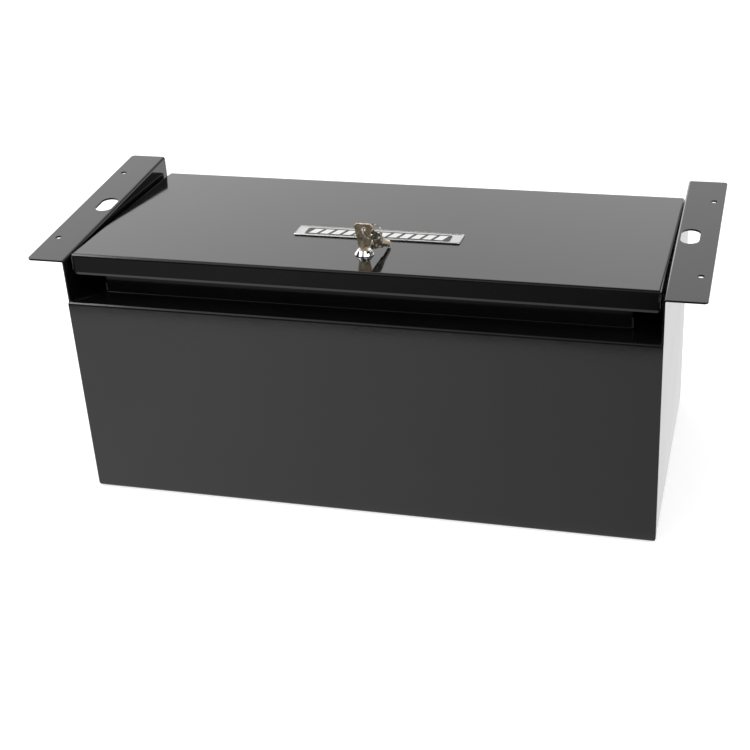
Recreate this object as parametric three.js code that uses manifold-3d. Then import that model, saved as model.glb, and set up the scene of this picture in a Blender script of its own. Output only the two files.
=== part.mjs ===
// Lockable storage box of bent sheet steel, in millimetres.
// X runs to the right, Y to the rear and Z up. The origin is at the centre of the footprint, on the base.
import * as THREE from 'three';
import { mergeVertices } from 'three/addons/utils/BufferGeometryUtils.js';
import Module from 'manifold-3d';

const wasm = await Module();
wasm.setup();

// Driving dimensions of the body
const bodyWidth = 610;
const bodyDepth = 285;
const sheet = 2;
const bendRadius = 1;
const groundCornerRadius = 5;
const frontLedgeWidth = 30;
const sideLedgeWidth = 32.5;

// Driving dimensions of the mounting flanges, with the ledges' depth below them
const flangeHeight = 274.5;
const ledgeDepth = 47;
const flangeWidth = 39;
const flangeCornerRadius = 4;
const boltHoleDiameter = 6.6;
const boltHoleEdgeDistance = 10.8;
const boltHoleSpacing = 177;
const flangeHolesFrontDistance = 144.5;
const slotHoleLength = 35;
const slotHoleWidth = 18.8;
const slotHoleEdgeDistance = 27.8;

// Driving dimensions of the lid, whose front edge rises above the flanges
const lidRise = 2.5;
const lidDrop = 22.9;
const lidSetback = 14;
const lidSideGap = 2.5;
const lidFlangeDepth = 22.2;
const lidCornerRadius = 3.5;
const flangeTipRadius = 5;
const lidFlangeRearRun = 18;

// Driving dimensions of the seal strips
const sealBulbRadius = 2.6;
const sealClipDepth = 7;
const sealStandHeight = 4.5;
const sealLidGap = 0.4;

// Driving dimensions of the piano hinge
const pinDiameter = 3;
const knuckleDiameter = 6.4;
const knuckleCount = 19;
const knuckleGap = 0.4;
const hingeSideClearance = 4;
const boxLeafWidth = 24;
const lidLeafWidth = 28;
const leafThickness = 1.5;
const pinPlay = 0.25;
const rearWallDrop = 6.3;

// Driving dimensions of the nameplate
const plateLength = 177;
const plateWidth = 26.5;
const plateThickness = 1.6;
const plateRim = 1.2;
const plateRecess = 0.4;
const plateCornerRadius = 1.5;
const plateFrontDistance = 91.4;

// Driving dimensions of the cam lock
const lockFrontDistance = 48.7;
const headDiameter = 19.6;
const headTopDiameter = 13.4;
const headHeight = 5.2;
const headRim = 0.9;
const barrelDiameter = 16;
const barrelFlats = 14.4;
const barrelLength = 25;
const plugDiameter = 9.2;
const plugPlay = 0.3;
const washerDiameter = 23;
const washerThickness = 1;
const nutAcrossFlats = 22;
const nutThickness = 4;
const camThickness = 2.5;
const camReach = 27;
const camWidth = 13;
const camHubRadius = 8.5;
const plugTail = 6;
const screwDiameter = 4;
const screwHeadDiameter = 9;
const screwHeadHeight = 2.6;
const screwHeadChamfer = 1;
const screwLength = 9;
const screwTipGap = 1;
const plugStandOut = 0.9;

// Driving dimensions of the keys and the ring
const keyThickness = 2;
const bladeWidth = 7;
const bladeDepth = 16;
const keywayPlay = 0.3;
const bowTopWidth = 19.2;
const bowFootWidth = 11.2;
const bowFootChamfer = 1;
const bowHeight = 25.9;
const bowChamfer = 2.4;
const bowStandOff = 1.3;
const keyHoleDiameter = 4.8;
const keyHoleTopDistance = 5.5;
const bittingDepths = [0.8, 1.6, 0.6, 1.9, 1.1];
const bittingPitch = 2.4;
const bittingFlat = 0.6;
const bittingStart = 5.7;
const ringDiameter = 18.8;
const ringWire = 1.3;
const ringDropInKey = 0.6;
const ringDropInSpare = 0.6;
const ringTurn = 215;

// Driving dimensions of the strike bracket
const strikeWidth = 44;
const strikeReach = 14;
const strikeCamGap = 1.4;
const strikeLegHeight = 9;

// The spare key's hole from the first key's hole, the direction of its blade and the direction across its bow
const spareHole = new THREE.Vector3(12.1, -5.5, -9);
const spareBlade = new THREE.Vector3(0.2, 0.88, -0.425);
const spareSpan = new THREE.Vector3(-0.058, 0.513, 0.857);

// Clearance between pieces that touch on the real box
const seam = 0.3;

// How far a cutting solid runs past the face it cuts
const overrun = 1;

// Facets of bends, of curved outlines and of turned pieces
const bendSteps = 5;
const curveSteps = 12;
const fineSides = 40;
const roundSides = 32;
const smallSides = 20;
const pinSides = 16;
const ringWireSides = 8;
const ringSteps = 36;

// Sizes worked out from the driving dimensions
const halfWidth = bodyWidth / 2;
const wallInside = halfWidth - sheet;
const ledgeHeight = flangeHeight - ledgeDepth;
const lidFrontHeight = flangeHeight + lidRise;
const lidHalfWidth = wallInside - lidSideGap;
const lipFace = halfWidth - sideLedgeWidth;
const lidRun = bodyDepth - lidSetback;
const lidSlope = Math.atan2(lidDrop, lidRun);
const lidLength = Math.hypot(lidRun, lidDrop);
const lidUndersideAt = (y) => (
  lidFrontHeight - (y - lidSetback) * Math.tan(lidSlope) - sheet / Math.cos(lidSlope)
);
const frontSealRear = frontLedgeWidth + sheet / 2 + sealBulbRadius;
const frontLipTop = lidUndersideAt(frontSealRear) - sealStandHeight - sealLidGap;
const ledgeBendBottom = ledgeHeight - sheet - bendRadius;
const hingeAxisY = bodyDepth - sheet - seam - knuckleDiameter / 2;
const hingeAxisZ = lidUndersideAt(hingeAxisY) - (seam + knuckleDiameter / 2) / Math.cos(lidSlope);
const rearWallTop = hingeAxisZ - rearWallDrop;
const hingeLength = 2 * (lipFace - sheet - hingeSideClearance);

const finishes = {
  powderCoat: { color: 0x1b1b1c, roughness: 0.3, metalness: 0.1 },
  zinc: { color: 0xb9bcc0, roughness: 0.4, metalness: 1 },
  nickel: { color: 0xd2d0c8, roughness: 0.22, metalness: 1 },
  chrome: { color: 0xe4e4e2, roughness: 0.1, metalness: 1 },
  aluminium: { color: 0xd8d9da, roughness: 0.35, metalness: 1 },
  rubber: { color: 0x151515, roughness: 0.85, metalness: 0 },
};

const part = new THREE.Group();
part.position.set(0, -bodyDepth / 2, 0);

// Frame that follows the lid: its origin is on the lid's front top edge
const lidFrame = new THREE.Matrix4().makeRotationX(-lidSlope).setPosition(0, lidSetback, lidFrontHeight);

// Joining and cutting closed meshes

function solidOf(geometry) {
  const bare = geometry.clone();
  bare.deleteAttribute('normal');
  bare.deleteAttribute('uv');
  const merged = mergeVertices(bare, 1e-4);
  return new wasm.Manifold(new wasm.Mesh({
    numProp: 3,
    vertProperties: new Float32Array(merged.attributes.position.array),
    triVerts: new Uint32Array(merged.index.array),
  }));
}

function geometryOf(solid) {
  const mesh = solid.getMesh();
  const geometry = new THREE.BufferGeometry();
  geometry.setAttribute('position', new THREE.BufferAttribute(new Float32Array(mesh.vertProperties), 3));
  geometry.setIndex(new THREE.BufferAttribute(new Uint32Array(mesh.triVerts), 1));
  geometry.computeVertexNormals();
  return geometry;
}

function combine(pieces, operation) {
  const [first, ...others] = pieces.map(solidOf);
  return geometryOf(others.reduce((result, solid) => result[operation](solid), first));
}

const cut = (base, tools) => combine([base, ...tools], 'subtract');
const join = (pieces) => combine(pieces, 'add');
const common = (pieces) => combine(pieces, 'intersect');

// Extruding outlines along each axis

const extrude = (shape, length) => (
  new THREE.ExtrudeGeometry(shape, { depth: length, bevelEnabled: false, curveSegments: curveSteps })
);

// The outline's x and y become Y and Z, and the solid is centred on the YZ plane.
function alongX(shape, length) {
  const basis = new THREE.Matrix4().makeBasis(
    new THREE.Vector3(0, 1, 0), new THREE.Vector3(0, 0, 1), new THREE.Vector3(1, 0, 0),
  );
  return extrude(shape, length).translate(0, 0, -length / 2).applyMatrix4(basis);
}

// The outline's x and y become X and Z, and the solid runs from start to end along Y.
function alongY(shape, start, end) {
  const basis = new THREE.Matrix4().makeBasis(
    new THREE.Vector3(1, 0, 0), new THREE.Vector3(0, 0, 1), new THREE.Vector3(0, -1, 0),
  );
  return extrude(shape, end - start).applyMatrix4(basis).translate(0, end, 0);
}

const alongZ = (shape, start, end) => extrude(shape, end - start).translate(0, 0, start);

function block(x0, x1, y0, y1, z0, z1) {
  return new THREE.BoxGeometry(x1 - x0, y1 - y0, z1 - z0)
    .translate((x0 + x1) / 2, (y0 + y1) / 2, (z0 + z1) / 2);
}

function disc(diameter, z0, z1, sides = roundSides) {
  return new THREE.CylinderGeometry(diameter / 2, diameter / 2, z1 - z0, sides)
    .rotateX(Math.PI / 2).translate(0, 0, (z0 + z1) / 2);
}

// Rod along X, centred on the YZ plane
function rod(diameter, length, sides) {
  return new THREE.CylinderGeometry(diameter / 2, diameter / 2, length, sides).rotateZ(Math.PI / 2);
}

function mirrored(geometry) {
  const flipped = geometry.clone().scale(-1, 1, 1);
  const index = flipped.index.array;
  for (let i = 0; i < index.length; i += 3) {
    [index[i + 1], index[i + 2]] = [index[i + 2], index[i + 1]];
  }
  flipped.computeVertexNormals();
  return flipped;
}

const polygon = (points) => new THREE.Shape(points.map(([x, y]) => new THREE.Vector2(x, y)));

// Rectangle whose four corner radii start at the low corner and go round anticlockwise.
function roundedRectangle(x0, y0, x1, y1, [r00, r10, r11, r01]) {
  const shape = new THREE.Shape();
  const corner = (x, y, radius, startAngle) => {
    if (radius > 0) shape.absarc(x, y, radius, startAngle, startAngle + Math.PI / 2, false);
    else shape.lineTo(x, y);
  };
  shape.moveTo(x0 + r00, y0);
  corner(x1 - r10, y0 + r10, r10, -Math.PI / 2);
  corner(x1 - r11, y1 - r11, r11, 0);
  corner(x0 + r01, y1 - r01, r01, Math.PI / 2);
  corner(x0 + r00, y0 + r00, r00, Math.PI);
  return shape;
}

// Outline of a bent strip: the corners lie on the middle of the sheet, and each bend is an arc.
function bentStrip(corners) {
  const points = corners.map(([x, y]) => new THREE.Vector2(x, y));
  const middleRadius = bendRadius + sheet / 2;
  const stations = [];
  const leftOf = (direction) => new THREE.Vector2(-direction.y, direction.x);
  points.forEach((point, i) => {
    const before = i > 0 ? point.clone().sub(points[i - 1]).normalize() : null;
    const after = i < points.length - 1 ? points[i + 1].clone().sub(point).normalize() : null;
    if (!before || !after) {
      stations.push({ point, left: leftOf(before || after) });
      return;
    }
    const turn = Math.atan2(before.cross(after), before.dot(after));
    const side = Math.sign(turn);
    const start = point.clone().addScaledVector(before, -middleRadius * Math.tan(Math.abs(turn) / 2));
    const centre = start.clone().addScaledVector(leftOf(before), side * middleRadius);
    for (let step = 0; step <= bendSteps; step += 1) {
      const left = leftOf(before).rotateAround(new THREE.Vector2(), turn * step / bendSteps);
      stations.push({ point: centre.clone().addScaledVector(left, -side * middleRadius), left });
    }
  });
  const edge = (sign) => stations.map(({ point, left }) => (
    point.clone().addScaledVector(left, sign * sheet / 2)
  ));
  return new THREE.Shape([...edge(-1), ...edge(1).reverse()]);
}

function addPiece(group, name, geometry, finish) {
  const mesh = new THREE.Mesh(geometry, new THREE.MeshStandardMaterial(finish));
  mesh.name = name;
  group.add(mesh);
  return mesh;
}

// Tub wrap: coaming lip, ledge, front, bottom and rear wall bent from one sheet

const mitreX = (y) => halfWidth - y * sideLedgeWidth / frontLedgeWidth;
const groundOutline = roundedRectangle(
  -halfWidth, 0, halfWidth, 2 * flangeHeight, [groundCornerRadius, groundCornerRadius, 0, 0],
);
const groundEnvelope = alongY(groundOutline, -overrun, bodyDepth + overrun);

function tubWrap() {
  const middle = sheet / 2;
  const strip = alongX(bentStrip([
    [frontLedgeWidth + middle, frontLipTop],
    [frontLedgeWidth + middle, ledgeHeight - middle],
    [middle, ledgeHeight - middle],
    [middle, middle],
    [bodyDepth - middle, middle],
    [bodyDepth - middle, rearWallTop],
  ]), bodyWidth);
  const lipRear = frontLedgeWidth + sheet;
  const mitreCutter = alongZ(polygon([
    [mitreX(sheet), sheet],
    [halfWidth + overrun, sheet],
    [halfWidth + overrun, lipRear + overrun],
    [lipFace - seam, lipRear + overrun],
    [lipFace - seam, frontLedgeWidth],
  ]), ledgeBendBottom - overrun, frontLipTop + overrun);
  const sideCutter = block(
    wallInside - seam, halfWidth + overrun, sheet, bodyDepth + overrun, -overrun, frontLipTop + overrun,
  );
  const cutters = [mitreCutter, sideCutter].flatMap((tool) => {
    const indexed = geometryOf(solidOf(tool));
    return [indexed, mirrored(indexed)];
  });
  return common([cut(strip, cutters), groundEnvelope]);
}

// Right side panel: its top is bent outwards into the mounting flange

function sidePanel() {
  const middle = sheet / 2;
  const flangeEdge = halfWidth + flangeWidth;
  const front = sheet + seam;
  const strip = alongY(bentStrip([
    [halfWidth - middle, 0],
    [halfWidth - middle, flangeHeight - middle],
    [flangeEdge, flangeHeight - middle],
  ]), front, bodyDepth);
  const plan = alongZ(roundedRectangle(
    -halfWidth, front, flangeEdge, bodyDepth, [0, flangeCornerRadius, flangeCornerRadius, 0],
  ), -overrun, flangeHeight + overrun);
  const holeBottom = flangeHeight - sheet - overrun;
  const holeTop = flangeHeight + overrun;
  const holes = [-1, 1].map((side) => (
    disc(boltHoleDiameter, holeBottom, holeTop, smallSides).translate(
      flangeEdge - boltHoleEdgeDistance, flangeHolesFrontDistance + side * boltHoleSpacing / 2, 0,
    )
  ));
  const slotEnd = (slotHoleLength - slotHoleWidth) / 2;
  const slotShape = new THREE.Shape();
  slotShape.absarc(0, slotEnd, slotHoleWidth / 2, 0, Math.PI, false);
  slotShape.absarc(0, -slotEnd, slotHoleWidth / 2, Math.PI, 2 * Math.PI, false);
  const slotHole = alongZ(slotShape, holeBottom, holeTop);
  slotHole.translate(flangeEdge - slotHoleEdgeDistance, flangeHolesFrontDistance, 0);
  const ground = alongY(roundedRectangle(
    -halfWidth, 0, halfWidth, flangeHeight, [0, groundCornerRadius, 0, 0],
  ), 0, bodyDepth);
  const aboveGround = block(0, 2 * flangeEdge, 0, bodyDepth, groundCornerRadius, 2 * flangeHeight);
  return cut(common([strip, plan, join([ground, aboveGround])]), [...holes, slotHole]);
}

// Right ledge: an angle strip whose coaming lip follows the slope of the lid

function sideLedge() {
  const middle = sheet / 2;
  const rear = bodyDepth - sheet - seam;
  const strip = alongY(bentStrip([
    [wallInside - seam, ledgeHeight - middle],
    [lipFace - middle, ledgeHeight - middle],
    [lipFace - middle, flangeHeight],
  ]), 0, rear);
  const frontEnd = frontLedgeWidth + sheet + seam;
  const lipInside = lipFace - sheet - overrun;
  const mitreCutter = alongZ(polygon([
    [mitreX(-overrun) + seam, -overrun],
    [lipFace + seam, frontLedgeWidth],
    [lipFace + seam, frontEnd],
    [lipInside, frontEnd],
    [lipInside, -overrun],
  ]), ledgeBendBottom - overrun, 2 * flangeHeight);
  const slopeCutter = block(
    0, bodyWidth, -bodyDepth, 2 * bodyDepth, -sheet - sealStandHeight - sealLidGap, flangeHeight,
  ).applyMatrix4(lidFrame);
  const frontCutter = block(0, bodyWidth, -overrun, sheet + seam, 0, 2 * flangeHeight);
  return cut(strip, [mitreCutter, slopeCutter, frontCutter]);
}

function addBody() {
  addPiece(part, 'tub_wrap', tubWrap(), finishes.powderCoat);
  const panel = sidePanel();
  addPiece(part, 'right_side_panel', panel, finishes.powderCoat);
  addPiece(part, 'left_side_panel', mirrored(panel), finishes.powderCoat);
  const ledge = sideLedge();
  addPiece(part, 'right_ledge', ledge, finishes.powderCoat);
  addPiece(part, 'left_ledge', mirrored(ledge), finishes.powderCoat);
}

// Seal strips: a clip pushed over the coaming's edge, with a bulb on top

function sealOutline() {
  const slot = sheet / 2 + seam;
  const shoulder = sealStandHeight - sealBulbRadius;
  const shape = new THREE.Shape();
  shape.moveTo(slot, -sealClipDepth);
  shape.lineTo(sealBulbRadius, -sealClipDepth);
  shape.lineTo(sealBulbRadius, shoulder);
  shape.absarc(0, shoulder, sealBulbRadius, 0, Math.PI, false);
  shape.lineTo(-sealBulbRadius, -sealClipDepth);
  shape.lineTo(-slot, -sealClipDepth);
  shape.lineTo(-slot, seam);
  shape.lineTo(slot, seam);
  shape.closePath();
  return shape;
}

function addSeals() {
  const lipMiddle = frontLedgeWidth + sheet / 2;
  const front = alongX(sealOutline(), 2 * (lipFace - sheet - seam)).translate(0, lipMiddle, frontLipTop);
  addPiece(part, 'front_seal', front, finishes.rubber);
  const frame = new THREE.Group();
  frame.applyMatrix4(lidFrame);
  part.add(frame);
  const start = (lipMiddle + sealBulbRadius + seam - lidSetback) / Math.cos(lidSlope) + sealStandHeight / 2;
  const end = lidLength - sheet - 2 * seam - leafThickness;
  const edgeDepth = sheet + sealStandHeight + sealLidGap;
  const side = geometryOf(solidOf(alongY(sealOutline(), start, end)));
  side.translate(lipFace - sheet / 2, 0, -edgeDepth);
  addPiece(frame, 'right_seal', side, finishes.rubber);
  addPiece(frame, 'left_seal', mirrored(side), finishes.rubber);
}

// Piano hinge: the leaf hangs down from the axis, and its outer face is tangent to the knuckles

const knucklePitch = hingeLength / knuckleCount;
const knuckleLength = knucklePitch - knuckleGap;
const knuckleRadius = knuckleDiameter / 2;

function hingeLeaf(width, firstKnuckle) {
  const knuckles = [];
  for (let i = firstKnuckle; i < knuckleCount; i += 2) {
    const centre = (i + 1 / 2) * knucklePitch - hingeLength / 2;
    const barrel = rod(knuckleDiameter, knuckleLength, smallSides);
    const neck = block(
      -knuckleLength / 2, knuckleLength / 2, knuckleRadius - leafThickness, knuckleRadius,
      -knuckleDiameter, 0,
    );
    knuckles.push(barrel.translate(centre, 0, 0), neck.translate(centre, 0, 0));
  }
  const plate = block(
    -hingeLength / 2, hingeLength / 2, knuckleRadius - leafThickness, knuckleRadius,
    -width, -knuckleRadius - knuckleGap,
  );
  const bore = rod(pinDiameter + 2 * pinPlay, hingeLength + 2 * overrun, pinSides);
  return cut(join([plate, ...knuckles]), [bore]);
}

function addBodyHinge() {
  const leaf = addPiece(part, 'hinge_body_leaf', hingeLeaf(boxLeafWidth, 0), finishes.powderCoat);
  leaf.position.set(0, hingeAxisY, hingeAxisZ);
  const pin = addPiece(part, 'hinge_pin', rod(pinDiameter, hingeLength, pinSides), finishes.zinc);
  pin.position.set(0, hingeAxisY, hingeAxisZ);
}

// Lid: a shallow tray open at the rear, with rounded bends and a hole for the lock

const lid = new THREE.Group();
lid.applyMatrix4(lidFrame);
part.add(lid);

function trayForm(inset, radius, rearExtra) {
  const half = lidHalfWidth - inset;
  const bottom = -lidFlangeDepth - (inset > 0 ? sheet : 0);
  const rear = lidLength + rearExtra;
  const cornerAtRear = rearExtra > 0 ? 0 : flangeTipRadius;
  return common([
    alongX(roundedRectangle(inset, bottom, rear, -inset, [0, 0, 0, radius]), 2 * half),
    alongY(roundedRectangle(-half, bottom, half, -inset, [0, 0, radius, radius]), 0, rear),
    alongZ(
      roundedRectangle(-half, inset, half, rear, [radius, radius, cornerAtRear, cornerAtRear]), bottom, 0,
    ),
  ]);
}

function lidTray() {
  const tray = cut(trayForm(0, lidCornerRadius, 0), [trayForm(sheet, lidCornerRadius - sheet, sheet)]);
  const flangeEnds = alongX(polygon([
    [lidLength - lidFlangeRearRun - overrun, -lidFlangeDepth - overrun],
    [lidLength + overrun, -lidFlangeDepth - overrun],
    [lidLength + overrun, -lidCornerRadius],
    [lidLength - sheet, -lidCornerRadius],
    [lidLength - lidFlangeRearRun, -lidFlangeDepth],
  ]), bodyWidth);
  const tipCentre = lidHalfWidth - flangeTipRadius;
  const tipRound = disc(2 * flangeTipRadius, -bodyDepth, bodyDepth).rotateX(Math.PI / 2);
  const rightTip = cut(
    block(tipCentre, halfWidth, -sheet, 2 * sheet, -2 * lidFlangeDepth, flangeTipRadius - lidFlangeDepth),
    [tipRound.translate(tipCentre, 0, flangeTipRadius - lidFlangeDepth)],
  );
  const holeHalf = barrelFlats / 2 + seam;
  const lockHole = common([
    disc(barrelDiameter + 2 * seam, -sheet - overrun, overrun),
    block(-holeHalf, holeHalf, -barrelDiameter, barrelDiameter, -bodyDepth, bodyDepth),
  ]).translate(0, lockFrontDistance, 0);
  return cut(tray, [flangeEnds, lockHole, rightTip, mirrored(rightTip)]);
}

function addLid() {
  addPiece(lid, 'lid', lidTray(), finishes.powderCoat);
  const leaf = hingeLeaf(lidLeafWidth, 1).rotateZ(Math.PI).rotateX(-Math.PI / 2);
  const axis = new THREE.Vector3(0, hingeAxisY, hingeAxisZ).applyMatrix4(lidFrame.clone().invert());
  leaf.translate(0, axis.y, axis.z);
  addPiece(lid, 'hinge_lid_leaf', leaf, finishes.powderCoat);
}

// Nameplate: a thin plate with a raised rim

function addNameplate() {
  const half = plateLength / 2;
  const rear = plateFrontDistance + plateWidth;
  const outline = (inset, radius) => roundedRectangle(
    -half + inset, plateFrontDistance + inset, half - inset, rear - inset, Array(4).fill(radius),
  );
  const top = seam + plateThickness;
  const field = alongZ(outline(plateRim, plateCornerRadius / 2), top - plateRecess, top + overrun);
  const plate = cut(alongZ(outline(0, plateCornerRadius), seam, top), [field]);
  addPiece(lid, 'nameplate', plate, finishes.aluminium);
}

// Cam lock, along its own axis square to the lid: z is 0 on the lid's top face

const lock = new THREE.Group();
lock.position.set(0, lockFrontDistance, 0);
lid.add(lock);
const headTop = seam + headHeight;
const camTop = -barrelLength - plugStandOut;
const camBottom = camTop - camThickness;

function revolve(points, sides = fineSides) {
  return new THREE.LatheGeometry(points.map(([r, z]) => new THREE.Vector2(r, z)), sides).rotateX(Math.PI / 2);
}

function lockHousing() {
  const bore = plugDiameter / 2 + plugPlay;
  const turned = revolve([
    [bore, -barrelLength],
    [barrelDiameter / 2, -barrelLength],
    [barrelDiameter / 2, seam],
    [headDiameter / 2, seam],
    [headDiameter / 2, seam + headRim],
    [headTopDiameter / 2, headTop],
    [bore, headTop],
    [bore, -barrelLength],
  ]);
  const flat = block(
    barrelFlats / 2, barrelDiameter, -barrelDiameter, barrelDiameter, -barrelLength - overrun, seam,
  );
  return cut(turned, [flat, flat.clone().rotateZ(Math.PI)]);
}

function lockPlug() {
  const keywayHalf = keyThickness / 2 + keywayPlay;
  const tailHalf = plugTail / 2;
  const body = join([
    disc(plugDiameter, camTop + seam, headTop - seam),
    block(-tailHalf, tailHalf, -tailHalf, tailHalf, camBottom, camTop + overrun),
  ]);
  const keyway = block(
    -bladeWidth / 2 - keywayPlay, bladeWidth / 2 + keywayPlay, -keywayHalf, keywayHalf,
    headTop - bladeDepth - keywayPlay, headTop + overrun,
  );
  const screwHole = disc(
    screwDiameter + 2 * seam, camBottom - overrun, camBottom + screwLength, smallSides,
  );
  return cut(body, [keyway, screwHole]);
}

function lockCam() {
  const outline = new THREE.Shape();
  const half = camWidth / 2;
  const start = Math.asin(half / camHubRadius);
  outline.absarc(0, 0, camHubRadius, start, 2 * Math.PI - start, false);
  outline.lineTo(camReach - half / 2, -half);
  outline.absarc(camReach - half / 2, -half / 2, half / 2, -Math.PI / 2, 0, false);
  outline.absarc(camReach - half / 2, half / 2, half / 2, 0, Math.PI / 2, false);
  outline.closePath();
  const side = plugTail / 2 + seam;
  const squareHole = block(-side, side, -side, side, camBottom - overrun, camTop + overrun);
  return cut(alongZ(outline, camBottom, camTop), [squareHole]);
}

function camScrew() {
  const headUnder = camBottom - seam;
  const headBottom = headUnder - screwHeadHeight;
  const tip = camBottom + screwLength - screwTipGap;
  return revolve([
    [0, headBottom],
    [screwHeadDiameter / 2 - screwHeadChamfer, headBottom],
    [screwHeadDiameter / 2, headBottom + screwHeadChamfer],
    [screwHeadDiameter / 2, headUnder],
    [screwDiameter / 2, headUnder],
    [screwDiameter / 2, tip],
    [0, tip],
  ], smallSides);
}

function addLock() {
  addPiece(lock, 'lock_housing', lockHousing(), finishes.chrome);
  const washerTop = -sheet - seam;
  const nutTop = washerTop - washerThickness - seam;
  const hole = disc(barrelDiameter + 2 * seam, -barrelLength, 0);
  const washer = disc(washerDiameter, washerTop - washerThickness, washerTop);
  const hexagon = disc(nutAcrossFlats / Math.cos(Math.PI / 6), nutTop - nutThickness, nutTop, 6);
  addPiece(lock, 'lock_washer', cut(washer, [hole]), finishes.zinc);
  addPiece(lock, 'lock_nut', cut(hexagon, [hole]), finishes.zinc);
  addPiece(lock, 'lock_plug', lockPlug(), finishes.chrome);
  addPiece(lock, 'lock_cam', lockCam(), finishes.zinc);
  addPiece(lock, 'cam_screw', camScrew(), finishes.zinc);
}

// Keys: x runs across the bow and z up the blade, with z at 0 on the bow's foot

const keyHoleHeight = bowHeight - keyHoleTopDistance;

function keyBlank() {
  const foot = bowFootWidth / 2;
  const top = bowTopWidth / 2;
  const blade = bladeWidth / 2;
  const tip = bowStandOff + bladeDepth - keywayPlay;
  const bitting = bittingDepths.flatMap((depth, i) => {
    const z = -bittingStart - i * bittingPitch;
    return [
      [blade, z + bittingPitch / 2],
      [blade - depth, z + bittingFlat / 2],
      [blade - depth, z - bittingFlat / 2],
    ];
  });
  const shape = polygon([
    [-foot + bowFootChamfer, 0],
    [-foot, bowFootChamfer],
    [-top, bowHeight - bowChamfer],
    [-top + bowChamfer, bowHeight],
    [top - bowChamfer, bowHeight],
    [top, bowHeight - bowChamfer],
    [foot, bowFootChamfer],
    [foot - bowFootChamfer, 0],
    [blade, 0],
    ...bitting,
    [0, -tip],
    [-blade, -tip + blade],
    [-blade, 0],
  ]);
  const hole = disc(keyHoleDiameter, -keyThickness, keyThickness, smallSides).rotateX(Math.PI / 2);
  hole.translate(0, 0, keyHoleHeight);
  return cut(alongY(shape, -keyThickness / 2, keyThickness / 2), [hole]);
}

// The ring hangs on the lower rim of the first key's hole and carries the upper rim of the spare key's hole.
function keyRing(bladeLine) {
  const start = new THREE.Vector3(0, 0, -ringDropInKey);
  const end = spareHole.clone().addScaledVector(bladeLine, -ringDropInSpare);
  const chord = end.clone().sub(start);
  const halfChord = chord.length() / 2;
  const offset = Math.sqrt((ringDiameter / 2) ** 2 - halfChord ** 2);
  chord.normalize();
  const square = new THREE.Vector3(0, 1, 0);
  const across = square.addScaledVector(chord, -chord.y).normalize();
  across.applyAxisAngle(chord, THREE.MathUtils.degToRad(ringTurn));
  const normal = chord.clone().cross(across);
  const centre = start.clone().add(end).multiplyScalar(1 / 2).addScaledVector(across, -offset);
  const ring = new THREE.TorusGeometry(ringDiameter / 2, ringWire / 2, ringWireSides, ringSteps);
  return ring.applyMatrix4(new THREE.Matrix4().makeBasis(chord, across, normal).setPosition(centre));
}

function spareKey(bladeLine) {
  const faceLine = bladeLine.clone().cross(spareSpan).normalize();
  const spanLine = faceLine.clone().cross(bladeLine);
  const pose = new THREE.Matrix4().makeBasis(
    spanLine, faceLine.clone().negate(), bladeLine.clone().negate(),
  );
  return keyBlank().translate(0, 0, -keyHoleHeight).applyMatrix4(pose.setPosition(spareHole));
}

function addKeys() {
  const key = addPiece(lock, 'key', keyBlank(), finishes.nickel);
  key.position.set(0, 0, headTop + bowStandOff);
  const holeFrame = new THREE.Group();
  holeFrame.position.set(0, 0, headTop + bowStandOff + keyHoleHeight);
  lock.add(holeFrame);
  const bladeLine = spareBlade.clone().normalize();
  addPiece(holeFrame, 'key_ring', keyRing(bladeLine), finishes.chrome);
  addPiece(holeFrame, 'spare_key', spareKey(bladeLine), finishes.nickel);
}

// Strike bracket: an angle on the front lip, whose lower leg the cam turns under

function addStrike() {
  const camTip = new THREE.Vector3(0, lockFrontDistance - camReach, camTop).applyMatrix4(lidFrame);
  const legMiddle = camTip.z + strikeCamGap + sheet / 2;
  const faceMiddle = frontLedgeWidth + sheet + seam + sheet / 2;
  const bracket = alongX(bentStrip([
    [faceMiddle, legMiddle + strikeLegHeight],
    [faceMiddle, legMiddle],
    [faceMiddle + strikeReach, legMiddle],
  ]), strikeWidth);
  addPiece(part, 'strike_bracket', bracket, finishes.powderCoat);
}

addBody();
addSeals();
addStrike();
addBodyHinge();
addLid();
addNameplate();
addLock();
addKeys();

export default part;
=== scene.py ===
import math
import random

import bmesh
import bpy
from mathutils import Matrix, Vector


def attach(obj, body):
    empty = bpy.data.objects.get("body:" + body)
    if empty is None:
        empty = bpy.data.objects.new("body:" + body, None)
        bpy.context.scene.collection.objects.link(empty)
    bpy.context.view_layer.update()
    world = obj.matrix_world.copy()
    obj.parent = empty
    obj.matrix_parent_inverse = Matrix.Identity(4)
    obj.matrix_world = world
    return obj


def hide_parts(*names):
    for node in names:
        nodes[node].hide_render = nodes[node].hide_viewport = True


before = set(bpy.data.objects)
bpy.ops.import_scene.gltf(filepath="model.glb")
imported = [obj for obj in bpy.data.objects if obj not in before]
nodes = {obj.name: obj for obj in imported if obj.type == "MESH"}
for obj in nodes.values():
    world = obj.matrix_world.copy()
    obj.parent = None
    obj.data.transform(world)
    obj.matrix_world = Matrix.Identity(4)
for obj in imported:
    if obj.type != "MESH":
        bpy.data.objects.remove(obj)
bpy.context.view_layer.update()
MM = 0.001

# Named sizes and places are in millimetres, and places start from the centre of the box's base

# The lid, and the lower edge of its front flange

LID_FRONT = Vector((0, -128.5, 277))
LID_RUN = 271
LID_DROP = 22.9
LID_SLOPE = math.atan2(LID_DROP, LID_RUN)
LID_HALF_WIDTH = 300.5
LID_FLANGE_DEPTH = 22.2
SHEET_MIDDLE = 1
ROLLED_STRIP = 2.8
ROLLED_BEND = 0.4
ROLLED_SLOPE = 0.27

# The nameplate and its print

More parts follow.
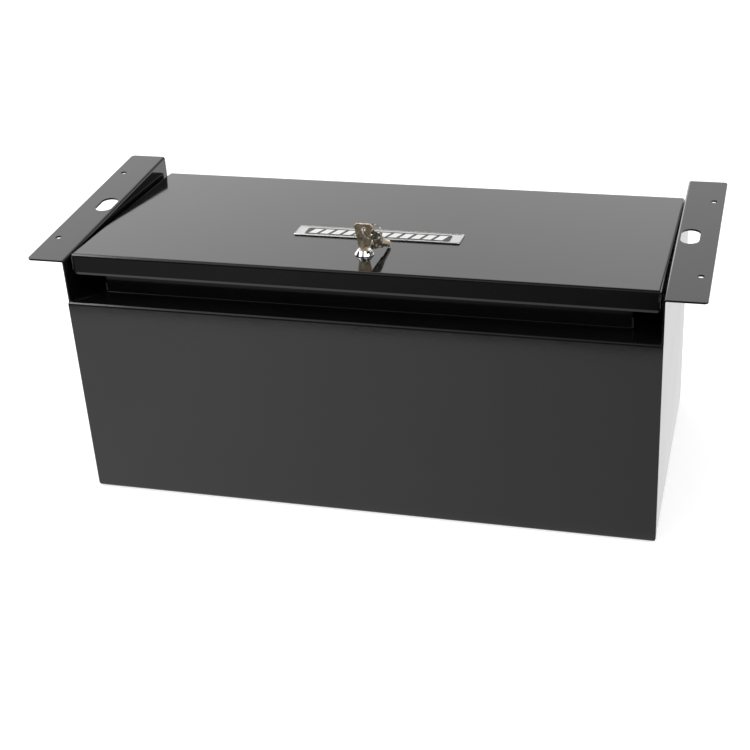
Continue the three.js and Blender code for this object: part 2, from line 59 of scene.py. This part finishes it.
PLATE_FLOOR = 1.5
RIM_DROP = 0.9
RIM_LEAN = 0.7
RIM_REACH = 0.95
PRINT_FROM_FRONT = 102.9
PRINT_GAP = 0.01
BAND_SIZE = (155, 18.5, 0.14)
BAND_CORNER = 3
BAR_SIZE = (8.6, 12.6, 0.1)
BAR_SLANT = 0.35
BAR_PITCH = 12.2
BAR_COUNT = 12

# The split ring. Its flat wire is given by half its width and half its thickness

RING_CENTRE = Vector((9.0075, -77.0485, 296.8052))
RING_AXIS = Vector((-0.27828, 0.46018, -0.84309))
RING_START = Vector((-0.95824, -0.07285, 0.27652))
RING_RADIUS = 9.4
RING_WIRE = (0.6, 0.25)
RING_CLIMB = 1
RING_WINDING = 4 * math.pi - 0.2
RING_WIRE_END = math.radians(110)
RING_STEPS = 160

# The spare key's blade: the X it starts at, its turn about that axis, and its middle's Z once turned back.
# Its upper half gets a painted highlight

BLADE_START = 16
BLADE_TURN = math.radians(30.9)
BLADE_MIDDLE = 205.6

# Welds on the right side, from one end to the other

LIP_WELD = ((273, -112.8, 229), (273, -112.8, 238))
LEDGE_WELD = ((302.9, -140.6, 224), (302.9, -139.4, 227.2))
LID_WELD_INSET = 0.9
LID_WELD_TOP = 4
LID_WELD_ABOVE_EDGE = 5
WELD_SPACING = 0.8
WELD_SCATTER = 0.12
WELD_FLATNESS = (0.75, 1)
WELD_GROWTH = (0.85, 1.1)

# How the copies of the solids are cleaned up, eased and shaded

MERGE = 0.01
MARGIN = 0.1
FLAT_ANGLE = math.radians(0.5)
SHARP_ANGLE = math.radians(40)
SHEET_EASE = 0.5
LID_EASE = 0.4
KEY_EASE = 0.4
SMALL_EASE = 0.15
SMOOTH_BELOW = 35

# The camera, from a fit to the photo's edges: yaw, pitch and roll in degrees, focal length in pixels

CAMERA_PLACE = Vector((402.55, -1424.21, 936.72))
CAMERA_ANGLES = (16.5683, 29.8208, -3.8007)
FOCAL_LENGTH = 1537.31
PHOTO_WIDTH = 750


def lid_point(across, along, above):
    """A point given across the lid, along its slope from the front edge, and above its face."""
    tilt = Matrix.Rotation(-LID_SLOPE, 3, "X")
    return (LID_FRONT + tilt @ Vector((across, along, above))) * MM


def lid_direction(across, along, above):
    return (lid_point(across, along, above) - lid_point(0, 0, 0)).normalized()


UPWARD = lid_direction(0, 0, 1)
REARWARD = lid_direction(0, 1, 0)


# Materials

class Graph:
    """The node tree of a material or a world, with short ways to add nodes and join them."""

    def __init__(self, owner):
        owner.use_nodes = True
        self.owner = owner
        self.tree = owner.node_tree
        self.shader = self.tree.nodes.get("Principled BSDF")
        self.coordinates = self.add("ShaderNodeTexCoord").outputs
        self.place = self.coordinates["Object"]

    def add(self, kind, inputs=(), **settings):
        node = self.tree.nodes.new(kind)
        for key, value in settings.items():
            setattr(node, key, value)
        for key, value in dict(inputs).items():
            self.feed(node.inputs[key], value)
        return node

    def feed(self, socket, value):
        if isinstance(value, bpy.types.NodeSocket):
            self.tree.links.new(value, socket)
        else:
            socket.default_value = value

    def set(self, **inputs):
        for key, value in inputs.items():
            self.feed(self.shader.inputs[key.replace("_", " ")], value)

    def noise(self, scale, detail=2.0, roughness=0.5, place=None):
        return self.add("ShaderNodeTexNoise", {
            "Vector": place or self.place, "Scale": scale, "Detail": detail, "Roughness": roughness,
        }).outputs["Fac"]

    def ramp(self, value, low, high, at_low=0, at_high=1):
        return self.add("ShaderNodeMapRange", {
            "Value": value, "From Min": low, "From Max": high, "To Min": at_low, "To Max": at_high,
        }).outputs["Result"]

    def calculate(self, operation, first, second):
        return self.add("ShaderNodeMath", {0: first, 1: second}, operation=operation).outputs[0]

    def lerp(self, factor, first, second):
        inputs = {"Factor": factor, "A": first, "B": second}
        return self.add("ShaderNodeMix", inputs, data_type="FLOAT").outputs["Result"]

    def mix(self, factor, first, second):
        """A mix of two colours, for which the Mix node keeps inputs 6 and 7 and output 2."""
        return self.add("ShaderNodeMix", {0: factor, 6: first, 7: second}, data_type="RGBA").outputs[2]

    def bump(self, height, strength, distance, normal=None):
        inputs = {"Height": height, "Strength": strength, "Distance": distance}
        if normal is not None:
            inputs["Normal"] = normal
        return self.add("ShaderNodeBump", inputs).outputs["Normal"]

    def stretched(self, x, y, z):
        return self.add("ShaderNodeMapping", {"Vector": self.place, "Scale": (x, y, z)}).outputs["Vector"]

    def split(self, vector):
        """The X, Y and Z of a vector."""
        return self.add("ShaderNodeSeparateXYZ", {0: vector}).outputs


def material_graph(name):
    return Graph(bpy.data.materials.new(name))


def powder_coat():
    """Gloss black powder coat: orange peel, a little dust and faint handling marks."""
    g = material_graph("powder_coat")
    cloud = g.noise(14, 4)
    specks = g.ramp(g.noise(900, 1), 0.70, 0.78)
    peel = g.noise(340)
    waves = g.noise(55, 1)
    tone = g.mix(g.ramp(cloud, 0.3, 0.7), (0.0036, 0.0036, 0.0038, 1), (0.0054, 0.0054, 0.0057, 1))
    g.set(
        Base_Color=g.mix(specks, tone, (0.016, 0.016, 0.017, 1)),
        Roughness=g.ramp(cloud, 0.3, 0.7, 0.075, 0.11),
        IOR=1.58,
        Normal=g.bump(peel, 0.05, 0.0003, g.bump(waves, 0.03, 0.001)),
    )
    return g.owner


def weld_paint():
    """The same coat over a weld bead: rippled, with brighter grain."""
    g = material_graph("weld_paint")
    ripple = g.noise(700, 3, 0.6)
    g.set(
        Base_Color=g.mix(ripple, (0.006, 0.006, 0.0062, 1), (0.013, 0.013, 0.0134, 1)),
        Roughness=g.ramp(ripple, 0.3, 0.7, 0.14, 0.28),
        IOR=1.58,
        Normal=g.bump(ripple, 0.35, 0.0006),
    )
    return g.owner


def lock_chrome():
    """Chrome with fine polishing lines, small pits and a slightly worn colour."""
    g = material_graph("lock_chrome")
    lines = g.noise(1, 3, 0.6, g.stretched(60, 300, 300))
    pits = g.ramp(g.noise(1300), 0.66, 0.74)
    cloud = g.noise(160, 3)
    g.set(
        Base_Color=g.mix(g.ramp(cloud, 0.35, 0.65), (0.86, 0.86, 0.85, 1), (0.76, 0.76, 0.75, 1)),
        Metallic=1.0,
        Roughness=g.ramp(lines, 0.3, 0.7, 0.063, 0.126),
        Normal=g.bump(lines, 0.08, 0.0002, g.bump(pits, -0.15, 0.0001)),
    )
    return g.owner


def upper_blade_highlight(g):
    """Where a surface lies on the upper half of the spare key's blade: the mask of a painted highlight."""
    turned = g.add("ShaderNodeMapping", {"Vector": g.place, "Rotation": (BLADE_TURN, 0, 0)})
    x, _, z = g.split(turned.outputs["Vector"])
    blade = g.ramp(x, BLADE_START * MM, (BLADE_START + 1) * MM, 0, 0.9)
    upper = g.ramp(z, BLADE_MIDDLE * MM, (BLADE_MIDDLE + 1) * MM)
    return g.calculate("MULTIPLY", blade, upper)


def worn_nickel(name, dark, light, bright, highlit_upper_blade=False):
    """Nickel over brass, tumbled and handled: mottled olive, with dents and rubbed bright spots. Where
    asked, the upper half of the spare key's blade also gets the bright colour, as a painted highlight.
    """
    g = material_graph(name)
    mottle = g.noise(420, 4, 0.65)
    dents = g.noise(650)
    wear_and_highlight = g.ramp(g.noise(230, 3), 0.54, 0.64)
    if highlit_upper_blade:
        # Painted highlight: the upper half of the spare key's blade gets the bright colour as well as the
        # rubbed spots
        wear_and_highlight = g.calculate("MAXIMUM", wear_and_highlight, upper_blade_highlight(g))
    tone = g.mix(g.ramp(mottle, 0.35, 0.65), dark, light)
    g.set(
        Base_Color=g.mix(wear_and_highlight, tone, bright),
        Metallic=1.0,
        Roughness=g.ramp(mottle, 0.3, 0.7, 0.28, 0.5),
        Normal=g.bump(dents, 0.65, 0.0005),
    )
    return g.owner


def zinc_plating():
    """Zinc with spangles of two greys and yellowish stains."""
    g = material_graph("zinc_plating")
    spangle = g.add("ShaderNodeTexVoronoi", {"Vector": g.place, "Scale": 420}).outputs["Color"]
    bright = g.add("ShaderNodeRGBToBW", {"Color": spangle}).outputs["Val"]
    stain = g.noise(60, 4)
    tone = g.mix(g.ramp(bright, 0.2, 0.8), (0.42, 0.43, 0.44, 1), (0.6, 0.61, 0.62, 1))
    g.set(
        Base_Color=g.mix(g.ramp(stain, 0.55, 0.7, 0, 0.5), tone, (0.5, 0.47, 0.38, 1)),
        Metallic=1.0,
        Roughness=g.ramp(bright, 0.0, 1.0, 0.28, 0.45),
        Normal=g.bump(g.noise(900), 0.1, 0.0002),
    )
    return g.owner


def seal_rubber():
    """Matt black rubber with a fine skin and a grey bloom in places."""
    g = material_graph("seal_rubber")
    skin = g.noise(1200, 3)
    bloom = g.noise(45, 4)
    g.set(
        Base_Color=g.mix(g.ramp(bloom, 0.5, 0.75), (0.008, 0.008, 0.008, 1), (0.024, 0.024, 0.025, 1)),
        Roughness=g.ramp(skin, 0.3, 0.7, 0.6, 0.85),
        Normal=g.bump(skin, 0.25, 0.0002),
    )
    return g.owner


def brushed_aluminium():
    """Satin plate brushed along its length, with dulled patches."""
    g = material_graph("brushed_aluminium")
    strokes = g.noise(1, 4, 0.7, g.stretched(25, 3200, 3200))
    cloud = g.noise(30, 3)
    g.set(
        Base_Color=g.mix(strokes, (0.46, 0.46, 0.45, 1), (0.68, 0.68, 0.67, 1)),
        Metallic=1.0,
        Roughness=g.ramp(cloud, 0.3, 0.7, 0.24, 0.36),
        Normal=g.bump(strokes, 0.12, 0.0001),
    )
    return g.owner


def enamel(name, first, second):
    """Satin enamel, a little cloudy."""
    g = material_graph(name)
    cloud = g.noise(200, 3)
    g.set(
        Base_Color=g.mix(cloud, first, second),
        Roughness=g.ramp(cloud, 0.3, 0.7, 0.42, 0.55),
        Normal=g.bump(g.noise(1500), 0.08, 0.0001),
    )
    return g.owner


coat = powder_coat()
weld = weld_paint()
chrome = lock_chrome()
nickel = worn_nickel("key_nickel", (0.42, 0.33, 0.215, 1), (0.95, 0.8, 0.58, 1), (1.0, 0.86, 0.62, 1))
# The spare key is the same nickel as the key: its much darker colours are painted shade, standing in for the
# dark room its face reflects
shaded_nickel = worn_nickel(
    "shaded_nickel", (0.015, 0.013, 0.009, 1), (0.07, 0.06, 0.042, 1), (0.9, 0.78, 0.58, 1), highlit_upper_blade=True,
)
ring_steel = worn_nickel("ring_steel", (0.07, 0.065, 0.055, 1), (0.2, 0.185, 0.15, 1), (0.75, 0.7, 0.6, 1))
zinc = zinc_plating()
rubber = seal_rubber()
aluminium = brushed_aluminium()
black_enamel = enamel("black_enamel", (0.02, 0.02, 0.021, 1), (0.045, 0.045, 0.047, 1))
white_enamel = enamel("white_enamel", (0.9, 0.9, 0.89, 1), (0.97, 0.97, 0.96, 1))

FINISHES = {
    "tub_wrap": coat, "left_side_panel": coat, "right_side_panel": coat, "left_ledge": coat,
    "right_ledge": coat, "strike_bracket": coat, "hinge_body_leaf": coat, "lid": coat,
    "hinge_lid_leaf": coat, "front_seal": rubber, "left_seal": rubber, "right_seal": rubber,
    "hinge_pin": zinc, "lock_washer": zinc, "lock_nut": zinc, "lock_cam": zinc, "cam_screw": zinc,
    "nameplate": aluminium, "lock_housing": chrome, "lock_plug": chrome, "key": nickel,
    "key_ring": ring_steel, "spare_key": shaded_nickel,
}
for name, material in FINISHES.items():
    nodes[name].data.materials.clear()
    nodes[name].data.materials.append(material)


# Pieces in place of the solids: the same shapes, with joined faces, eased edges and smooth bends

def add_object(name, data):
    thing = bpy.data.objects.new(name, data)
    bpy.context.scene.collection.objects.link(thing)
    return thing


def make_piece(shape, name, material, body, smooth_below=SMOOTH_BELOW):
    """A piece on its body. Faces that meet at less than so many degrees are shaded as one."""
    mesh = bpy.data.meshes.new(name)
    shape.to_mesh(mesh)
    shape.free()
    piece = add_object(name, mesh)
    mesh.materials.append(material)
    mesh.polygons.foreach_set("use_smooth", [True] * len(mesh.polygons))
    mesh.set_sharp_from_angle(angle=math.radians(smooth_below))
    weighted = piece.modifiers.new("even_shading", "WEIGHTED_NORMAL")
    weighted.keep_sharp = True
    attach(piece, body)
    return piece


def finished(node, ease, body, segments=2, smooth_below=SMOOTH_BELOW, reshape=None):
    """A piece with the node's own shape, its sharp edges eased by so many millimetres."""
    shape = bmesh.new()
    shape.from_mesh(nodes[node].data)
    bmesh.ops.remove_doubles(shape, verts=shape.verts, dist=MERGE * MM)
    bmesh.ops.dissolve_limit(
        shape, angle_limit=FLAT_ANGLE, verts=shape.verts, edges=shape.edges, use_dissolve_boundaries=False,
    )
    if reshape:
        reshape(shape)
    if ease:
        sharp = [e for e in shape.edges if len(e.link_faces) == 2 and e.calc_face_angle() > SHARP_ANGLE]
        bmesh.ops.bevel(
            shape, geom=sharp, affect="EDGES", offset=ease * MM, offset_type="OFFSET", segments=segments,
            profile=0.5, material=-1, clamp_overlap=True,
        )
    piece = make_piece(shape, node + "_finished", FINISHES[node], body, smooth_below)
    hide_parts(node)


def turn_in_lower_edge(shape):
    """Leans the lowest strip of the front flange's outer face inwards, as the flange's rolled edge does."""
    foot = lid_point(0, 0, -LID_FLANGE_DEPTH)
    middle = lid_point(0, SHEET_MIDDLE, 0)
    for height in (ROLLED_STRIP, ROLLED_STRIP - ROLLED_BEND):
        outer_face = [f for f in shape.faces if (f.calc_center_median() - middle).dot(REARWARD) < 0]
        geometry = {part for f in outer_face for part in (f, *f.edges, *f.verts)}
        bmesh.ops.bisect_plane(
            shape, geom=list(geometry), plane_co=foot + UPWARD * height * MM, plane_no=UPWARD,
            dist=MERGE * MM,
        )
    for v in shape.verts:
        height = (v.co - foot).dot(UPWARD)
        if (v.co - middle).dot(REARWARD) < 0 and height < (ROLLED_STRIP - MARGIN) * MM:
            v.co += REARWARD * (ROLLED_STRIP * MM - height) * ROLLED_SLOPE


def lean_plate_rim(shape):
    """Leans the upper part of the nameplate's outer sides inwards, as its rounded edge does."""
    top = max(v.co.dot(UPWARD) for v in shape.verts)
    runs = [v.co.dot(REARWARD) for v in shape.verts]
    middle, half_width = (max(runs) + min(runs)) / 2, (max(runs) - min(runs)) / 2
    half_length = max(v.co.x for v in shape.verts)
    bmesh.ops.bisect_plane(
        shape, geom=[*shape.verts, *shape.edges, *shape.faces], plane_co=UPWARD * (top - RIM_DROP * MM),
        plane_no=UPWARD, dist=MERGE * MM,
    )
    bmesh.ops.triangulate(shape, faces=shape.faces)
    for v in shape.verts:
        run = v.co.dot(REARWARD) - middle
        outside = abs(v.co.x) > half_length - RIM_REACH * MM or abs(run) > half_width - RIM_REACH * MM
        if outside and v.co.dot(UPWARD) > top - MARGIN * MM:
            v.co += (Vector((-1, 0, 0)) * v.co.x / half_length - REARWARD * run / half_width) * RIM_LEAN * MM


for node in ("tub_wrap", "left_side_panel", "right_side_panel", "left_ledge", "right_ledge"):
    finished(node, SHEET_EASE, "box", segments=3)
for node in ("strike_bracket", "hinge_body_leaf", "hinge_pin"):
    finished(node, SMALL_EASE, "box")
for node in ("front_seal", "left_seal", "right_seal"):
    finished(node, 0, "box")
finished("lid", LID_EASE, "lid", segments=3, smooth_below=50, reshape=turn_in_lower_edge)
finished("hinge_lid_leaf", SMALL_EASE, "lid")
for node, ease in (("lock_housing", 0.25), ("lock_washer", 0.2), ("lock_nut", 0.3)):
    finished(node, ease, "lid")
finished("nameplate", 0, "lid", reshape=lean_plate_rim)
for node, ease in (("lock_plug", SMALL_EASE), ("lock_cam", 0.3), ("cam_screw", 0.2)):
    finished(node, ease, "plug")
finished("key", KEY_EASE, "key", segments=3)
finished("spare_key", KEY_EASE, "spare", segments=3)


# Nameplate: a dark band in the plate's recess, with a row of slanted bars that stand for its print

def plate_part(shape, size, bottom, across=0, slant=0):
    """A block on the plate, sheared by its slant."""
    width, height, thickness = size
    scale = Matrix.Diagonal((width * MM, height * MM, thickness * MM, 1))
    lean = Matrix(((1, slant, 0, 0), (0, 1, 0, 0), (0, 0, 1, 0), (0, 0, 0, 1)))
    rise = Matrix.Translation((across * MM, 0, (bottom + thickness / 2) * MM))
    lid_face = Matrix.Translation(lid_point(0, PRINT_FROM_FRONT, 0)) @ Matrix.Rotation(-LID_SLOPE, 4, "X")
    bmesh.ops.create_cube(shape, size=1, matrix=lid_face @ rise @ lean @ scale)


def nameplate_print():
    band_floor = PLATE_FLOOR + PRINT_GAP
    band_thickness = BAND_SIZE[2]
    band = bmesh.new()
    plate_part(band, BAND_SIZE, band_floor)
    upright = [e for e in band.edges if abs(e.calc_length() - band_thickness * MM) < MERGE * MM]
    bmesh.ops.bevel(
        band, geom=upright, affect="EDGES", offset=BAND_CORNER * MM, offset_type="OFFSET", segments=6,
        profile=0.5, material=-1,
    )
    make_piece(band, "nameplate_band", black_enamel, "lid")
    bars = bmesh.new()
    for i in range(BAR_COUNT):
        across = (i - (BAR_COUNT - 1) / 2) * BAR_PITCH
        plate_part(bars, BAR_SIZE, band_floor + band_thickness + PRINT_GAP, across, BAR_SLANT)
    make_piece(bars, "nameplate_bars", white_enamel, "lid")


nameplate_print()


# Split ring: two turns of flat wire where the solid has one round ring

def split_ring():
    shape = bmesh.new()
    bmesh.ops.create_circle(shape, cap_ends=True, segments=12, radius=1)
    bmesh.ops.scale(shape, vec=(RING_WIRE[0] * MM, RING_WIRE[1] * MM, 1), verts=shape.verts)
    bmesh.ops.rotate(shape, cent=(0, 0, 0), matrix=Matrix.Rotation(math.pi / 2, 3, "X"), verts=shape.verts)
    bmesh.ops.translate(shape, vec=(RING_RADIUS * MM, 0, -RING_CLIMB / 2 * MM), verts=shape.verts)
    bmesh.ops.spin(
        shape, geom=shape.verts[:] + shape.edges[:] + shape.faces[:], cent=(0, 0, 0), axis=(0, 0, 1),
        dvec=(0, 0, RING_CLIMB * MM / RING_STEPS), angle=RING_WINDING, steps=RING_STEPS, use_merge=False,
        use_duplicate=False,
    )
    bmesh.ops.remove_doubles(shape, verts=shape.verts, dist=MERGE * MM)
    bmesh.ops.holes_fill(shape, edges=shape.edges, sides=0)
    bmesh.ops.recalc_face_normals(shape, faces=shape.faces)
    axes = Matrix((RING_START, RING_AXIS.cross(RING_START), RING_AXIS)).transposed().to_4x4()
    axes = axes @ Matrix.Rotation(RING_WIRE_END, 4, "Z")
    bmesh.ops.transform(shape, matrix=Matrix.Translation(RING_CENTRE * MM) @ axes, verts=shape.verts)
    piece = make_piece(shape, "split_ring", ring_steel, "ring", smooth_below=60)
    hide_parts("key_ring")


split_ring()


# Weld beads at the front corners of the coaming lip, the ledge and the lid

def weld_bead(name, start, end, radius, body):
    """Overlapping ripples of weld from one point to the other, in millimetres."""
    chance = random.Random(name)
    shape = bmesh.new()
    run = end - start
    count = round(run.length / (radius * WELD_SPACING))
    for i in range(count + 1):
        scatter = Vector([chance.uniform(-WELD_SCATTER, WELD_SCATTER) for _ in range(3)])
        place = start + run * (i / count) + scatter
        ripple = Matrix.Translation(place * MM) @ Matrix.Diagonal((1, 1, chance.uniform(*WELD_FLATNESS), 1))
        bmesh.ops.create_icosphere(
            shape, subdivisions=2, radius=radius * chance.uniform(*WELD_GROWTH) * MM, matrix=ripple,
        )
    make_piece(shape, name, weld, body, smooth_below=80)


def corner_welds(side, hand):
    """The three beads of the right side, or of the left one where side is -1."""
    lid_side = LID_HALF_WIDTH - LID_WELD_INSET
    lid_weld = [
        lid_point(lid_side, LID_WELD_INSET, -down) / MM
        for down in (LID_WELD_TOP, LID_FLANGE_DEPTH - LID_WELD_ABOVE_EDGE)
    ]
    for corner, ends, radius, body in (
        ("lip", LIP_WELD, 1.3, "box"), ("ledge", LEDGE_WELD, 1, "box"), ("lid", lid_weld, 0.8, "lid"),
    ):
        start, end = (Vector((side * x, y, z)) for x, y, z in ends)
        weld_bead(f"{hand}_{corner}_corner_weld", start, end, radius, body)


corner_welds(-1, "left")
corner_welds(1, "right")


# Surroundings, in metres. The world's numbers are directions from -1 to 1, and levels of light

def backdrop_light(g, x, z):
    """The white wall behind the box: bright at the left and low down, dark at the right and above."""
    left = g.lerp(g.ramp(x, -0.22, -0.08), g.ramp(x, -0.5, -0.2, 1.38, 1.14), 1.22)
    wall = g.lerp(g.ramp(x, 0.12, 0.3), left, 0.15)
    foot = g.ramp(x, -0.45, -0.3, 2.9, 1.3)
    return g.lerp(g.ramp(z, 0.57, 0.7), g.lerp(g.ramp(z, 0.1, 0.2, 1, 0), wall, foot), 0.1)


def room_light(g, x, z):
    """The dark room in front of the box, with a softbox above the camera that is brightest at its ends."""
    middle = g.ramp(x, -0.4, -0.05, 0.8, 0.3)
    softbox = g.lerp(g.ramp(x, -0.45, -0.4), 7.0, g.lerp(g.ramp(x, 0.08, 0.16), middle, 4.0))
    in_softbox = g.calculate("MULTIPLY", g.ramp(z, 0.55, 0.61), g.ramp(z, 0.95, 0.99, 1, 0))
    low_right = g.calculate("MULTIPLY", g.ramp(z, 0.34, 0.44, 1, 0), g.ramp(x, 0.0, 0.2))
    return g.lerp(in_softbox, g.lerp(low_right, 0.03, 0.5), softbox)


def studio_world():
    """White for the camera, an even grey on matt surfaces, and the backdrop and the room in reflections."""
    g = Graph(bpy.data.worlds.new("studio"))
    x, y, z = g.split(g.coordinates["Generated"])
    mirrored = g.lerp(g.ramp(y, 0.05, 0.35), room_light(g, x, z), backdrop_light(g, x, z))
    rays = g.add("ShaderNodeLightPath").outputs
    level = g.lerp(rays["Is Glossy Ray"], 0.75, mirrored)
    seen = g.calculate("MAXIMUM", rays["Is Camera Ray"], rays["Is Transmission Ray"])
    background = g.tree.nodes["Background"]
    g.feed(background.inputs["Color"], (1, 1, 1, 1))
    g.feed(background.inputs["Strength"], g.lerp(seen, level, 1.0))
    bpy.context.scene.world = g.owner


def floor_paint():
    """White table top. In front of the box its reflection fades to the right, and ends with the table."""
    g = material_graph("floor_white")
    x, y, _ = g.split(g.place)
    beyond = g.ramp(x, -0.35, 0.3, 0.2, 0.02)
    in_front = g.lerp(g.ramp(y, -0.56, -0.53), beyond, g.ramp(x, -0.3, 0.35, 0.97, 0.6))
    reflected = g.lerp(g.ramp(y, -0.16, -0.12), in_front, 1.0)
    rays = g.add("ShaderNodeLightPath").outputs
    g.set(Base_Color=(0.8, 0.8, 0.8, 1), Roughness=0.9)
    whiten = g.calculate("MULTIPLY", rays["Is Camera Ray"], 0.62)
    glow = g.add("ShaderNodeEmission", {"Strength": whiten}).outputs[0]
    lit = g.add("ShaderNodeAddShader", {0: g.shader.outputs[0], 1: glow}).outputs[0]
    mirrored = g.add("ShaderNodeEmission", {"Strength": reflected}).outputs[0]
    surface = g.add("ShaderNodeMixShader", {0: rays["Is Glossy Ray"], 1: lit, 2: mirrored}).outputs[0]
    g.feed(g.tree.nodes["Material Output"].inputs["Surface"], surface)
    return g.owner


def studio_floor():
    half_size = 6
    below = 0.0005
    shape = bmesh.new()
    bmesh.ops.create_grid(shape, x_segments=1, y_segments=1, size=half_size)
    mesh = bpy.data.meshes.new("floor")
    shape.to_mesh(mesh)
    shape.free()
    mesh.materials.append(floor_paint())
    floor = add_object("floor", mesh)
    floor.location = (0, 0, -below)


def softbox_lamp():
    """One large lamp, left out of reflections, because the world's softbox is mirrored instead."""
    place, target = Vector((-0.7, -0.3, 2.4)), Vector((0, 0, 0.2))
    light = bpy.data.lights.new("softbox", "AREA")
    light.shape = "RECTANGLE"
    light.size, light.size_y = 1.6, 1.2
    light.energy = 10
    lamp = add_object("softbox", light)
    lamp.location = place
    lamp.rotation_euler = (target - place).to_track_quat("-Z", "Y").to_euler()
    lamp.visible_glossy = False


def photo_camera():
    yaw, pitch, roll = (math.radians(a) for a in CAMERA_ANGLES)
    forward = Vector((-math.sin(yaw) * math.cos(pitch), math.cos(yaw) * math.cos(pitch), -math.sin(pitch)))
    right = Vector((math.cos(yaw), math.sin(yaw), 0))
    up = right.cross(forward)
    rolled_right = math.cos(roll) * right + math.sin(roll) * up
    rolled_up = -math.sin(roll) * right + math.cos(roll) * up
    turn = Matrix((rolled_right, rolled_up, -forward)).transposed().to_4x4()
    data = bpy.data.cameras.new("camera")
    data.sensor_width = 36
    data.lens = FOCAL_LENGTH / PHOTO_WIDTH * data.sensor_width
    data.clip_end = 50
    camera = add_object("camera", data)
    camera.matrix_world = Matrix.Translation(CAMERA_PLACE * MM) @ turn
    bpy.context.scene.camera = camera


studio_world()
studio_floor()
photo_camera()
softbox_lamp()

bpy.context.scene.view_settings.view_transform = "Standard"
